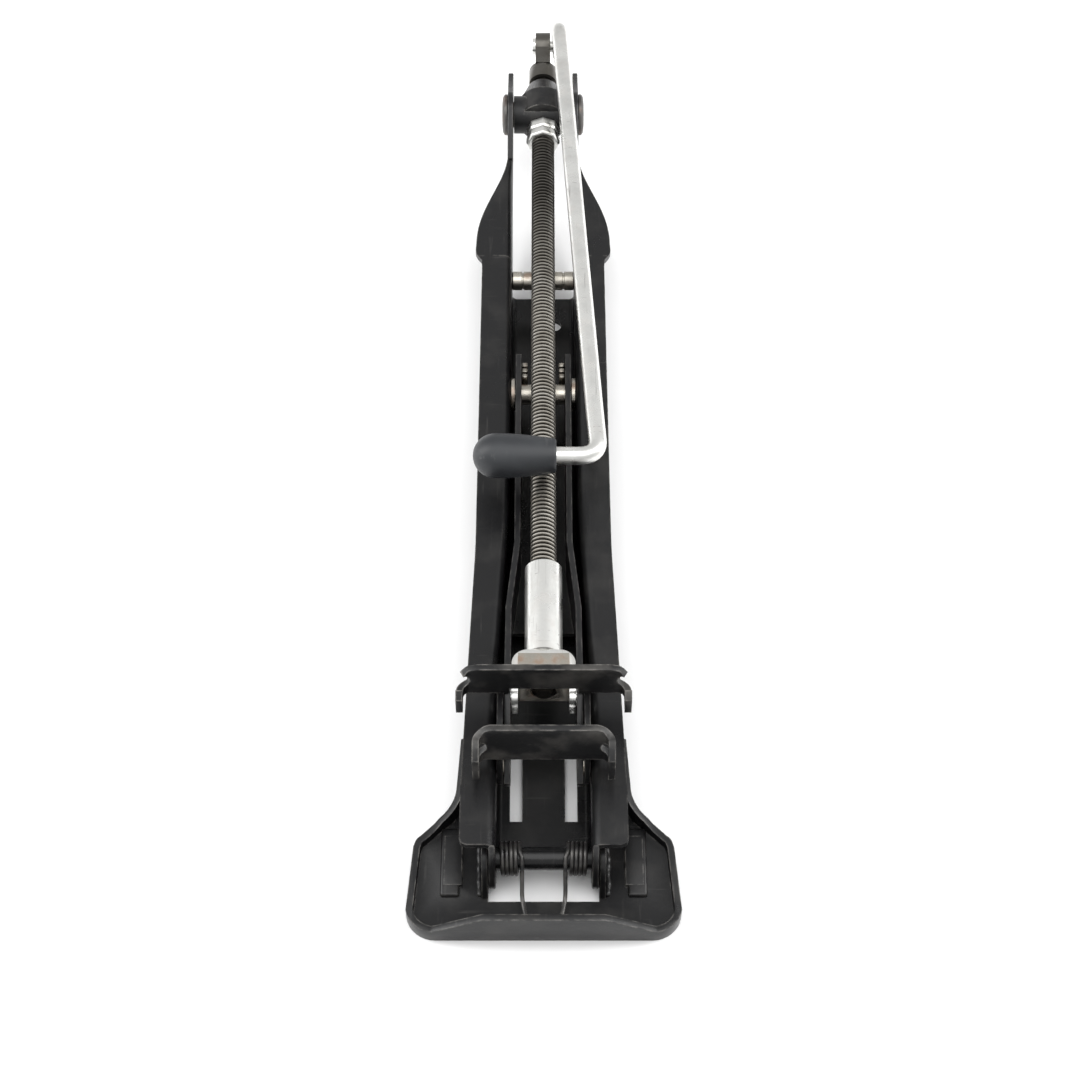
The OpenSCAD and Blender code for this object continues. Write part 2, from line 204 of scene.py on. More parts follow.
def apply_modifiers(obj):
    """The piece's own mesh becomes what its modifiers make."""
    bpy.context.view_layer.update()
    made = bpy.data.meshes.new_from_object(obj.evaluated_get(bpy.context.evaluated_depsgraph_get()))
    obj.modifiers.clear()
    obj.data = made


def add_piece(name, points, faces):
    """A new mesh piece from points given in jack millimetres."""
    mesh = bpy.data.meshes.new(name)
    mesh.from_pydata([place(*p) for p in points], [], faces)
    mesh.validate()
    obj = bpy.data.objects.new(name, mesh)
    bpy.context.scene.collection.objects.link(obj)
    return obj


def complete(obj, body, slot, material, *nodes, smooth=38):
    """Shading, material and body for a piece whose shape is done."""
    obj.data.shade_smooth()
    obj.data.set_sharp_from_angle(angle=math.radians(smooth))
    obj.data.materials.clear()
    obj.data.materials.append(material)
    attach(obj, body)
    if nodes:
        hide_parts(*nodes)
    return obj


def outward(obj):
    """All faces of a closed piece look outwards."""
    shape = bmesh.new()
    shape.from_mesh(obj.data)
    bmesh.ops.remove_doubles(shape, verts=shape.verts, dist=1e-6)
    bmesh.ops.recalc_face_normals(shape, faces=shape.faces)
    shape.to_mesh(obj.data)
    shape.free()


def join(parts):
    """Several loose meshes made into one piece."""
    first = parts[0]
    shape = bmesh.new()
    for part in parts:
        shape.from_mesh(part.data)
    shape.to_mesh(first.data)
    shape.free()
    for part in parts[1:]:
        bpy.data.objects.remove(part)
    return first


def block(name, x0, x1, t0, t1, z0, z1):
    """A box between six planes."""
    points = [(x, t, z) for x in (x0, x1) for t in (t0, t1) for z in (z0, z1)]
    faces = [(0, 1, 3, 2), (4, 6, 7, 5), (0, 4, 5, 1), (2, 3, 7, 6), (0, 2, 6, 4), (1, 5, 7, 3)]
    obj = add_piece(name, points, faces)
    outward(obj)
    return obj


def disc_of(name, x, t, radius, low, high):
    """A flat disc that lies in the plane of the web."""
    ring = [(x + radius * math.cos(math.radians(a)), t + radius * math.sin(math.radians(a)))
            for a in range(0, 360, 12)]
    n = len(ring)
    points = [(u, v, z) for z in (low, high) for u, v in ring]
    faces = [tuple(range(n)), tuple(range(n, 2 * n))]
    faces += [(i, (i + 1) % n, n + (i + 1) % n, n + i) for i in range(n)]
    obj = add_piece(name, points, faces)
    outward(obj)
    return obj


leg_wall = 2.9
leg_depth = 36
half_at_foot, half_at_top = 20.7, 16
span, screw_z = 435, 40
foot_pin_t, foot_pin_z = 0, 14
arm_t, arm_pin_z = 250.5, 26
flange_full = 34.5
flange_fades_from, flange_ends_at = 343, 405
inner_bend = 2.6


def leg_half(t):
    """Half the inside width of the channel."""
    return half_at_foot + (half_at_top - half_at_foot) * min(max((t - 75) / 105, 0), 1)


# Half the width over the flanges, at distances from the foot hinge
flange_line = [(-5, 33), (-4, 35.2), (-2, 36), (21, 36), (90, 33.7), (150, 31.6), (240, 31.4), (329, 31.3)]
flange_line += [(332, 31.6), (335, 33.6), (337, 34.5), (339, 34.7), (flange_fades_from, flange_full)]


def flange_edge(t):
    """Half the width over the flanges."""
    if t > flange_fades_from:
        u = min((t - flange_fades_from) / (flange_ends_at - flange_fades_from), 1)
        fall = (1 - math.cos(math.pi * u)) / 2 * (0.6 + 0.4 * u)
        return flange_full - (flange_full - 19.0) * fall
    for (t0, w0), (t1, w1) in zip(flange_line, flange_line[1:]):
        if t <= t1:
            return w0 + (w1 - w0) * (t - t0) / (t1 - t0)
    return flange_full


def leg_bottom(t):
    """Height of the cheek's lower edge, which rises past the end of the web."""
    for t0, z0, t1, z1 in ((333, 0, 369, 12), (369, 12, 413, 28)):
        if t0 < t <= t1:
            return z0 + (z1 - z0) * (t - t0) / (t1 - t0)
    return 0


def leg_section(t, with_web):
    """Half the channel's inner skin, from the flange's rim to the middle of the web."""
    half = leg_half(t)
    rim = flange_edge(t)
    bend = min(4.6, rim - half - 0.05)
    points = [(rim, leg_depth), ((rim + half + bend) / 2, leg_depth)]
    for k in range(9):
        a = math.radians(90 + 90 * k / 8)
        points.append((half + bend + bend * math.cos(a), leg_depth - bend + bend * math.sin(a)))
    foot = leg_wall + inner_bend if with_web else leg_bottom(t)
    top = leg_depth - bend
    for k in range(1, 5):
        points.append((half, top + (foot - top) * k / 4))
    if with_web:
        for k in range(1, 7):
            a = math.radians(-90 * k / 6)
            points.append((half - inner_bend + inner_bend * math.cos(a), foot + inner_bend * math.sin(a)))
        points += [(half * 0.5, leg_wall), (0, leg_wall)]
    return points


def leg_sheet(name, stations, with_web, side):
    """One half of the channel as a single skin of faces, without thickness."""
    rows = [leg_section(t, with_web) for t in stations]
    wide = len(rows[0])
    points = [(side * x, t, z) for t, row in zip(stations, rows) for x, z in row]
    faces = []
    for i in range(len(stations) - 1):
        for j in range(wide - 1):
            faces.append((i * wide + j, i * wide + j + 1, (i + 1) * wide + j + 1, (i + 1) * wide + j))
    return add_piece(name, points, faces)


def thicken(obj, wall):
    """Sheet metal thickness behind the skin that shows, which looks upwards."""
    shape = bmesh.new()
    shape.from_mesh(obj.data)
    bmesh.ops.remove_doubles(shape, verts=shape.verts, dist=2e-5)
    bmesh.ops.recalc_face_normals(shape, faces=shape.faces)
    highest = max(shape.faces, key=lambda f: f.calc_center_median().z)
    if highest.normal.z <= 0:
        bmesh.ops.reverse_faces(shape, faces=shape.faces)
    shape.to_mesh(obj.data)
    shape.free()
    modifier = obj.modifiers.new("sheet", "SOLIDIFY")
    modifier.thickness = wall * MM
    modifier.offset = -1
    modifier.use_even_offset = True
    apply_modifiers(obj)


def cut(obj, cutter):
    """A hole or a notch, and the cutter is thrown away."""
    modifier = obj.modifiers.new("cut", "BOOLEAN")
    modifier.object = cutter
    modifier.operation = "DIFFERENCE"
    modifier.solver = "EXACT"
    apply_modifiers(obj)
    bpy.data.objects.remove(cutter)


low_stations = [-5, -4, -2, 0, 8, 21, 30] + list(range(40, 325, 8)) + [329, 332, 335]
high_stations = [335, 337, 339, 341, 343] + list(range(346, flange_ends_at, 3)) + [flange_ends_at]
channel = join([leg_sheet("leg_channel", low_stations, True, s) for s in (-1, 1)])
thicken(channel, leg_wall)
cut(channel, block("cut_end", -20.6, 20.6, -9, 5, -2, 7))
for side in (-1, 1):
    x0, x1 = sorted((side * 9.5, side * 15))
    cut(channel, block("cut_window", x0, x1, 24, 64, -3, 9))
cut(channel, disc_of("cut_hole", 5.5, arm_t + 66, 4, -3, 9))
complete(channel, "leg", "black_enamel", black_enamel, "main_leg")


# ---- The leg's neck and ears ----
# Past the web's end the two cheeks run on alone to the trunnion, and their flanges fade out.
# The foot ends of the cheeks are rounded ears. All of it is the same pressing as the channel.


def round_edges(obj, width, segments=2, angle=32):
    """Small rounded corners, as a press or a file leaves them, in millimetres."""
    modifier = obj.modifiers.new("round", "BEVEL")
    modifier.width = width * MM
    modifier.segments = segments
    modifier.limit_method = "ANGLE"
    modifier.angle_limit = math.radians(angle)
    apply_modifiers(obj)


def arc_points(cx, cy, r, a0, a1, n=12):
    """Points of an arc in the side view."""
    step = (a1 - a0) / n
    turns = [math.radians(a0 + step * i) for i in range(n + 1)]
    return [(cx + r * math.cos(a), cy + r * math.sin(a)) for a in turns]


def side_plate(name, outline, x0, x1):
    """A plate with a side-view outline, between two planes across the jack."""
    n = len(outline)
    points = [(x, t, z) for x in (x0, x1) for t, z in outline]
    faces = [tuple(range(n)), tuple(range(2 * n - 1, n - 1, -1))]
    faces += [(i, (i + 1) % n, n + (i + 1) % n, n + i) for i in range(n)]
    obj = add_piece(name, points, faces)
    outward(obj)
    return obj


parts = []
for side in (-1, 1):
    neck = leg_sheet("neck", high_stations, False, side)
    thicken(neck, leg_wall)
    parts.append(neck)
complete(join(parts), "leg", "black_enamel", black_enamel).name = "leg_neck"

ear_r = 13
top_ear = arc_points(span + 27, screw_z, 4, 0, 90, 6) + arc_points(span, screw_z, ear_r, 60, 120, 10)
top_ear += [(flange_ends_at, leg_depth + 0.6), (flange_ends_at, leg_bottom(flange_ends_at))]
top_ear += [(413, 28), (span + 31, screw_z - 9)]
foot_ear = arc_points(foot_pin_t, foot_pin_z, ear_r, 180, 246, 10) + [(-5, leg_depth)]
ear_plates = (("leg_top_ears", top_ear, half_at_top), ("leg_foot_ears", foot_ear, half_at_foot))
for label, outline, half in ear_plates:
    parts = []
    for side in (-1, 1):
        x0, x1 = sorted((side * half, side * (half + leg_wall)))
        ear = side_plate("ear", outline, x0, x1)
        round_edges(ear, 0.6)
        parts.append(ear)
    complete(join(parts), "leg", "black_enamel", black_enamel)
    parts[0].name = label

nub = disc_of("leg_web_nub", 0, 7, 4.5, 0.1, leg_wall - 0.1)
round_edges(nub, 0.7)
complete(nub, "leg", "black_enamel", black_enamel)


# ---- The leg's pins ----
# Plain turned pins cross the channel. Most are plated steel, dull and with brown rust in patches,
# and the foot's hinge pin is black like the leg.


def turned(name, profile, axis, x, t, z, steps=48):
    """A lathe-turned solid: (distance along the axis, radius) pairs, about X or along the jack."""
    points = []
    for along, radius in profile:
        for k in range(steps):
            a = 2 * math.pi * k / steps
            u, v = radius * math.cos(a), radius * math.sin(a)
            points.append((x + along, t + u, z + v) if axis == "X" else (x + u, t + along, z + v))
    faces = []
    for i in range(len(profile) - 1):
        for k in range(steps):
            n = (k + 1) % steps
            faces.append((i * steps + k, i * steps + n, (i + 1) * steps + n, (i + 1) * steps + k))
    faces.append(tuple(range(steps)))
    faces.append(tuple(range((len(profile) - 1) * steps, len(profile) * steps)))
    obj = add_piece(name, points, faces)
    outward(obj)
    return obj


def plating(name, rust, tone, rough_low, rough_high):
    """Zinc plate: bright, faintly cloudy, dull in patches, rusty where it has worn."""
    material, tree, shader = new_finish(name)
    cloudy = use(tree, blotches, Scale=90.0, Low=0.35, High=0.7)
    dull = use(tree, scratches, Scale=700.0, Amount=0.45)
    rusty = use(tree, blotches, Scale=130.0, Low=0.52, High=0.66)
    colour = tint(tree, tone, tuple(c * 0.72 for c in tone), cloudy)
    colour = tint(tree, colour, (0.2, 0.19, 0.18), dull)
    rust_mask = ramp(tree, rusty, 0, 1, 0, rust)
    colour = tint(tree, colour, (0.19, 0.085, 0.035), rust_mask)
    tree.links.new(colour, shader.inputs["Base Color"])
    tree.links.new(ramp(tree, rust_mask, 0, 1, 1.0, 0.1), shader.inputs["Metallic"])
    tree.links.new(ramp(tree, cloudy, 0, 1, rough_low, rough_high), shader.inputs["Roughness"])
    bump(tree, shader, noise(tree, 900.0, 3.0), 0.1, 0.0003)
    return material


zinc_plate = plating("zinc_plate", 0.1, (0.92, 0.92, 0.89), 0.24, 0.4)
pin_steel = plating("pin_steel", 0.6, (0.55, 0.52, 0.46), 0.25, 0.42)
half_pin = [(9.8, 4.8), (10.1, 4.2), (10.7, 4.2), (11, 4.8), (15.4, 4.8), (half_at_top, 4.2)]
pin_profile = [(-x, r) for x, r in reversed(half_pin)] + half_pin
leg_pin = turned("leg_cross_pin_turned", pin_profile, "X", 0, arm_t + 78, 24)
complete(leg_pin, "leg", "zinc_plate", pin_steel, "leg_cross_pin", smooth=30)
pin_profile = [(-half_at_top, 4.4), (-15.4, 5), (15.4, 5), (half_at_top, 4.4)]
hinge_pin = turned("arm_hinge_pin_turned", pin_profile, "X", 0, arm_t, arm_pin_z)
complete(hinge_pin, "leg", "zinc_plate", pin_steel, "arm_hinge_pin", smooth=30)
washers = []
for side in (-1, 1):
    ring = [(13.75, 5), (13.75, 7.5), (14.1, 8), (15.6, 8), (15.95, 7.5), (15.95, 5)]
    washers.append(turned("washer", [(side * x, r) for x, r in ring], "X", 0, arm_t, arm_pin_z))
complete(join(washers), "leg", "bare_steel", pin_steel, "arm_spacers", smooth=30).name = "arm_spacer_rings"
foot_pin_end = 27.4
foot_pin_r, chamfer = 5, 0.8
pin_profile = [(-foot_pin_end, 3.6), (-foot_pin_end + chamfer, foot_pin_r)]
pin_profile += [(foot_pin_end - chamfer, foot_pin_r), (foot_pin_end, 3.6)]
foot_pin = turned("foot_hinge_pin_turned", pin_profile, "X", 0, foot_pin_t, foot_pin_z)
complete(foot_pin, "leg", "black_enamel", black_enamel, "foot_hinge_pin", smooth=30)


# ---- The foot ----
# The foot is a shallow pressed tray with a turned-up rim and a cut-out for the leg. Two ears are
# welded to its floor. It is dipped in the same black enamel, dusty and chipped from use.
foot_enamel = enamel("foot_enamel", 0.7, 0.22, 0.26, 0.42)


def rounded_copy(node, name, width, segments=2):
    """A new mesh with the shape of a CAD node and softened edges."""
    shape = bmesh.new()
    shape.from_mesh(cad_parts[node].data)
    bmesh.ops.remove_doubles(shape, verts=shape.verts, dist=1e-6)
    bmesh.ops.dissolve_limit(shape, angle_limit=math.radians(1.5), verts=shape.verts, edges=shape.edges)
    mesh = bpy.data.meshes.new(name)
    shape.to_mesh(mesh)
    shape.free()
    obj = bpy.data.objects.new(name, mesh)
    bpy.context.scene.collection.objects.link(obj)
    round_edges(obj, width, segments)
    return obj


complete(rounded_copy("foot_plate", "foot_tray", 0.9, 3), "foot", "black_enamel", foot_enamel, "foot_plate")
complete(rounded_copy("foot_ears", "foot_ear_plates", 0.5), "foot", "black_enamel", foot_enamel, "foot_ears")


def sweep(name, line, across, up=None, sides=20):
    """A rod along a line of points, with its half sizes at each point."""
    up = up or across
    path = [Vector(p) for p in line]
    side_way = Vector((1, 0, 0))
    points = []
    for i, point in enumerate(path):
        ahead = (path[min(i + 1, len(path) - 1)] - path[max(i - 1, 0)]).normalized()
        if abs(ahead.dot(side_way)) > 0.97:
            side_way = Vector((0, 1, 0))
        first = (side_way - ahead * side_way.dot(ahead)).normalized()
        side_way = first
        second = ahead.cross(first)
        for k in range(sides):
            a = 2 * math.pi * k / sides
            points.append(tuple(point + first * (across[i] * math.cos(a)) + second * (up[i] * math.sin(a))))
    faces = []
    for i in range(len(path) - 1):
        for k in range(sides):
            n = (k + 1) % sides
            faces.append((i * sides + k, i * sides + n, (i + 1) * sides + n, (i + 1) * sides + k))
    faces.append(tuple(range(sides)))
    faces.append(tuple(range((len(path) - 1) * sides, len(path) * sides)))
    obj = add_piece(name, points, faces)
    outward(obj)
    return obj


def filleted(corners, radius, steps=8):
    """A line through corner points, with its corners rounded."""
    path = [Vector(p) for p in corners]
    line = [tuple(path[0])]
    for before, corner_point, after in zip(path, path[1:], path[2:]):
        back = (before - corner_point)
        on = (after - corner_point)
        reach = min(radius, back.length * 0.48, on.length * 0.48)
        a = corner_point + back.normalized() * reach
        b = corner_point + on.normalized() * reach
        for k in range(steps + 1):
            u = k / steps
            line.append(tuple(a * (1 - u) ** 2 + corner_point * 2 * u * (1 - u) + b * u ** 2))
    line.append(tuple(path[-1]))
    return line


# Embossed pads, and the welds that hold the ears
pads = []
for side in (-1, 1):
    x0, x1 = sorted((side * 36.5, side * 45))
    pad = block("pad", x0, x1, -13, 20, 2.5, 4.9)
    round_edges(pad, 2.2, 4)
    pads.append(pad)
complete(join(pads), "foot", "black_enamel", foot_enamel).name = "foot_pads"
welds = []
weld_x = 27.9
for side in (-1, 1):
    line, size = [], []
    for k in range(26):
        swell = 1 if k % 3 else 0.72
        across = side * (weld_x + random.uniform(-0.3, 0.35))
        line.append((across, -13 + 1.4 * k, 3.4 + random.uniform(-0.2, 0.2)))
        size.append((1.5 + random.uniform(-0.25, 0.35)) * swell)
    welds.append(sweep("bead", line, size, sides=10))
weld = join(welds)
smooth_bead = weld.modifiers.new("smooth", "SUBSURF")
smooth_bead.levels = 1
apply_modifiers(weld)
complete(weld, "foot", "black_enamel", foot_enamel, smooth=180).name = "foot_welds"


# ---- The foot springs ----
# Two coils of 2 mm wire wind round the foot hinge pin. A leg of each reaches forward to the lip
# of the foot and holds it against the leg. The wire is oil-blackened.
spring_steel, tree, shader = new_finish("spring_steel")
oily = use(tree, blotches, Scale=150.0, Low=0.35, High=0.7)
tree.links.new(tint(tree, (0.02, 0.02, 0.021), (0.1, 0.095, 0.09), oily), shader.inputs["Base Color"])
tree.links.new(ramp(tree, oily, 0, 1, 0.25, 0.42), shader.inputs["Roughness"])
shader.inputs["Metallic"].default_value = 0.6
bump(tree, shader, noise(tree, 1200.0, 2.0), 0.08, 0.0002)
springs = []
coil_turns, coil_r = 4.5, 6.7
coil_outer_x, coil_inner_x, wire_r = 19, 10.4, 0.95
steps = int(coil_turns * 20)
for side in (-1, 1):
    line = []
    for k in range(steps + 1):
        a = math.radians(-90 + 360 * coil_turns * k / steps)
        x = coil_outer_x - (coil_outer_x - coil_inner_x) * k / steps
        line.append((side * x, coil_r * math.cos(a), foot_pin_z + coil_r * math.sin(a)))
    tail = filleted([line[-1], (side * 9.3, -3, 20.5), (side * 9.3, -17, 9.5), (side * 7.2, -28, 10.2)], 3, 5)
    line += tail[1:]
    springs.append(sweep("spring", line, [wire_r] * len(line), sides=10))
spring_pair = complete(join(springs), "foot", "spring_steel", spring_steel, "foot_springs", smooth=60)
spring_pair.name = "foot_spring_wires"


# ---- The lifting arm ----
# The arm is a narrower pressed channel inside the leg, on its own hinge pin. Its upper cheek
# ends carry short teeth. Black enamel, except for the bright plated teeth.
complete(rounded_copy("lifting_arm", "arm_channel", 0.6), "arm", "black_enamel", black_enamel, "lifting_arm")
complete(rounded_copy("arm_teeth", "arm_tooth_rows", 0.4), "arm", "zinc_plate", pin_steel, "arm_teeth")


# ---- The saddle ----
# Two cradle cheeks hang on studs in the arm and carry the two jaws that take the sill. The jaws
# are thick pressed plates turned back at their ends, dusty and scuffed grey.
jaw_enamel = enamel("jaw_enamel", 0.9, 0.9, 0.34, 0.52)
cheeks = rounded_copy("saddle_cradle", "saddle_cheeks", 0.5)
complete(cheeks, "saddle", "black_enamel", black_enamel, "saddle_cradle")


def between(value, low, high, at_low, at_high):
    """A smooth passage from one size to another."""
    u = min(max((value - low) / (high - low), 0), 1)
    u = u * u * (3 - 2 * u)
    return at_low + (at_high - at_low) * u


def jaw_sheet(name, width, low, top, t, turn):
    """One jaw: a plate turned back at both ends with rounded bends, its upper corners rounded."""
    bend, wall, half = 5.5, 3, width / 2
    plan = [(half, t - turn), (half, t - turn * 0.7), (half, t - bend)]
    plan += arc_points(half - bend, t - bend, bend, 10, 90, 8)
    plan += [(half * k / 8, t) for k in range(6, 0, -1)]
    plan = plan + [(0, t)] + [(-x, y) for x, y in reversed(plan)]
    rows = 6
    points = []
    for x, y in plan:
        drop = between(abs(x), half - 8, half, 0, 4.5) + between(t - y, bend, turn, 0, 4.5)
        for k in range(rows + 1):
            points.append((x, y, low + (top - drop - low) * k / rows))
    faces = []
    for i in range(len(plan) - 1):
        for k in range(rows):
            a = i * (rows + 1) + k
            faces.append((a, a + 1, a + rows + 2, a + rows + 1))
    obj = add_piece(name, points, faces)
    shape = bmesh.new()
    shape.from_mesh(obj.data)
    bmesh.ops.recalc_face_normals(shape, faces=shape.faces)
    middle_face = min(shape.faces, key=lambda f: abs(f.calc_center_median().x))
    if middle_face.normal.y < 0:
        bmesh.ops.reverse_faces(shape, faces=shape.faces)
    shape.to_mesh(obj.data)
    shape.free()
    sheet = obj.modifiers.new("sheet", "SOLIDIFY")
    sheet.thickness = wall * MM
    sheet.offset = -1
    apply_modifiers(obj)
    for side in (-1, 1):
        cut(obj, turned("cut_notch", [(-9, 4.6), (5, 4.6)], "Y", side * (half - 1.5), t, low + 10, 32))
    return obj


rear = jaw_sheet("rear_jaw_plate", 76, 49.5, 68, 65, 13)
cut(rear, block("cut_nut_notch", -15, 15, 60, 67, 48, 53))
tabs = [block("tab", *sorted((side * 17.7, side * 20.3)), 62, 65, 38, 49.6) for side in (-1, 1)]
rear = join([rear] + tabs)
round_edges(rear, 0.7, 3)
complete(rear, "saddle", "black_enamel", jaw_enamel, "rear_jaw")
front = jaw_sheet("front_jaw_plate", 61, 42, 66, 36, 13)
round_edges(front, 0.7, 3)
complete(front, "saddle", "black_enamel", jaw_enamel, "front_jaw")
stud_pins = rounded_copy("saddle_studs", "saddle_stud_pins", 0.5)
complete(stud_pins, "arm", "zinc_plate", pin_steel, "saddle_studs")


# ---- The nut and its bracket ----
# A U-shaped plated bracket holds the steel nut that the screw runs through. It hangs between the
# arm's cheeks on two short studs.
bracket = rounded_copy("nut_bracket", "nut_bracket_strap", 0.6)
complete(bracket, "nut", "zinc_plate", zinc_plate, "nut_bracket")
complete(rounded_copy("nut_studs", "nut_stud_pins", 0.5), "arm", "zinc_plate", zinc_plate, "nut_studs")
complete(rounded_copy("screw_nut", "screw_nut_block", 0.6), "nut", "bare_steel", pin_steel, "screw_nut")


# ---- The spacer sleeve ----
# A plain plated tube round the screw, on the crank side of the nut bracket. Its ends are
# chamfered, and its plating is bright.
sleeve_from, sleeve_l, sleeve_r = 86, 49, 8.5
sleeve_profile = [(0, 6.5), (0, 7.9), (0.6, sleeve_r), (sleeve_l - 0.6, sleeve_r), (sleeve_l, 7.9)]
sleeve_profile += [(sleeve_l, 6.6), (46, 6.4)]
sleeve = turned("spacer_tube", sleeve_profile, "Y", 0, sleeve_from, screw_z, 64)
complete(sleeve, "nut", "zinc_plate", zinc_plate, "spacer_sleeve", smooth=30)


# ---- The screw ----
# The screw is a rolled trapezoid thread in oiled steel. Its thread roots are painted near black as shade
# and the crests stay bright, and it grows darker towards the trunnion. A plain neck turns in the trunnion.
screw_steel, tree, shader = new_finish("screw_steel")
where = tree.nodes.new("ShaderNodeTexCoord")
split = tree.nodes.new("ShaderNodeSeparateXYZ")
tree.links.new(where.outputs["Object"], split.inputs["Vector"])
# The screw is darker towards the trunnion, from 290 to 372 mm along the jack.
darkening_from, darkening_to = place(0, 290, 0).y, place(0, 372, 0).y
darker_toward_trunnion = ramp(tree, split.outputs["Y"], darkening_from, darkening_to, 0.1, 0.85)
from_axis = tree.nodes.new("ShaderNodeVectorMath")
from_axis.operation = "DISTANCE"
on_axis = tree.nodes.new("ShaderNodeCombineXYZ")
screw_low, screw_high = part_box("screw")
on_axis.inputs["X"].default_value = 0
on_axis.inputs["Z"].default_value = (screw_low.z + screw_high.z) / 2
tree.links.new(split.outputs["Y"], on_axis.inputs["Y"])
tree.links.new(where.outputs["Object"], from_axis.inputs[0])
tree.links.new(on_axis.outputs["Vector"], from_axis.inputs[1])
# Painted shade: the thread roots are near black and the crests keep the steel's colour, set by distance from
# the axis.
out_of_root_shade = ramp(tree, from_axis.outputs["Value"], 5.2 * MM, 5.95 * MM)
patches = use(tree, blotches, Scale=110.0, Low=0.35, High=0.7)
colour = tint(tree, (0.72, 0.69, 0.63), (0.42, 0.39, 0.34), patches)
colour = tint(tree, (0.035, 0.031, 0.026), colour, out_of_root_shade)
colour = tint(tree, colour, (0.03, 0.028, 0.025), darker_toward_trunnion)
tree.links.new(colour, shader.inputs["Base Color"])
tree.links.new(ramp(tree, patches, 0, 1, 0.26, 0.42), shader.inputs["Roughness"])
shader.inputs["Metallic"].default_value = 0.9
bump(tree, shader, noise(tree, 1500.0, 2.0), 0.08, 0.0002)

pitch = 2.2
crest_r, root_r = 6.0, 5.0
thread_from, thread_to = 68, 421.5
steps = 28
turns = int((thread_to - thread_from) / pitch) - 1
thread_profile = [(0, root_r), (0.42, root_r), (0.86, crest_r), (1.5, crest_r), (1.94, root_r)]
points = []
for k in range(turns * steps + 1):
    a = 2 * math.pi * k / steps
    for offset, radius in thread_profile:
        along = thread_from + pitch * k / steps + offset
        points.append((radius * math.cos(a), along, screw_z + radius * math.sin(a)))
faces = []
wide = len(thread_profile)
for k in range(turns * steps):
    for j in range(wide - 1):
        faces.append((k * wide + j, k * wide + j + 1, (k + 1) * wide + j + 1, (k + 1) * wide + j))
    if k + steps < turns * steps:
        on = (k + steps) * wide
        faces.append((k * wide + wide - 1, on, on + wide, (k + 1) * wide + wide - 1))
thread = add_piece("screw_thread", points, faces)
core_r = 4.9
core_profile = [(-1, 3.4), (0.2, core_r), (turns * pitch + 1.5, core_r), (turns * pitch + 2, 4)]
core = turned("core", core_profile, "Y", 0, thread_from, screw_z, 32)
neck = turned("neck", [(0, 5), (36, 5)], "Y", 0, span - 12, screw_z, 32)
outward(thread)
complete(join([thread, core, neck]), "screw", "bare_steel", screw_steel, "screw", smooth=28)
eye = rounded_copy("screw_eye", "screw_eye_forging", 0.8, 3)
complete(eye, "screw", "bare_steel", screw_steel, "screw_eye")
collar_profile = [(0, 6), (0, 8.2), (0.8, 9), (4.6, 9), (5.2, 8.4), (6, 8.4), (6.6, 9), (11.2, 9)]
collar_profile += [(12, 8.2), (12, 6)]
collar = turned("thrust_ring", collar_profile, "Y", 0, span - 22.5, screw_z, 8)
round_edges(collar, 0.5)
complete(collar, "screw", "zinc_plate", zinc_plate, "thrust_collar")


# ---- The trunnion ----
# A forged block that swings between the leg's ears and takes the thrust of the screw. Two plated
# rivets hold it, with wide round heads outside the ears.
trunnion_enamel = enamel("trunnion_enamel", 0.9, 0.5, 0.32, 0.5)
trunnion = rounded_copy("trunnion_block", "trunnion_forging", 0.9, 3)
complete(trunnion, "trunnion", "black_enamel", trunnion_enamel, "trunnion_block")
rivets = []
shaft = [(10, 5.9), (15.6, 5.9), (15.7, 6.9), (18.8, 6.9)]
head = [(18.95, 10.4), (19.4, 11), (20.6, 10.8), (21.5, 9.4), (21.9, 6), (21.6, 3.4), (21.3, 2)]
for side in (-1, 1):
    rivets.append(turned("rivet", [(side * x, r) for x, r in shaft + head], "X", 0, span, screw_z, 40))
rivet_steel = plating("rivet_steel", 0.35, (0.13, 0.125, 0.12), 0.34, 0.5)
complete(join(rivets), "leg", "zinc_plate", rivet_steel, "trunnion_rivets").name = "trunnion_rivet_pair"


# ---- The crank ----
# The crank is a bent rod of bright plated steel. One end is flattened and riveted to the eye of
# the screw, and the other turns across to carry the grip.
eye_t, eye_z, rod_z = span + 51, 43, 59
grip_t = eye_t - 300
rod_r = 4.25
corners = [(8.2, eye_t - 0.5, eye_z - 5), (8.3, eye_t - 0.2, eye_z + 2), (8.6, eye_t + 2.6, eye_z + 10),
           (9, eye_t - 6, rod_z), (24.6, grip_t + 20, rod_z), (26, grip_t, rod_z), (-26, grip_t, rod_z)]
line = filleted(corners, 11, 10)
across, up = [], []
for x, t, z in line:
    flat = between(z, eye_z + 1, eye_z + 13, 1, 0) if t > eye_t - 9 else 0
    across.append(rod_r * (1 - 0.34 * flat))
    up.append(rod_r * (1 + 0.42 * flat))
rod = sweep("crank_bar", line, across, up, 28)
tip = turned("tip", [(5.4, 5.6), (5.7, 6.4), (10.4, 6.4), (10.9, 5.6)], "X", 0, eye_t, eye_z, 32)
complete(join([rod, tip]), "crank", "zinc_plate", zinc_plate, "crank_rod", smooth=50)
rivet_profile = [(-6.2, 3.2), (-5.7, 4.6), (-4.1, 5), (-4, 3), (11, 3), (11.1, 5), (12.3, 4.6), (12.9, 3.2)]
crank_rivet = turned("crank_rivet_heads", rivet_profile, "X", 0, eye_t, eye_z, 32)
complete(crank_rivet, "screw", "zinc_plate", zinc_plate, "crank_rivet")


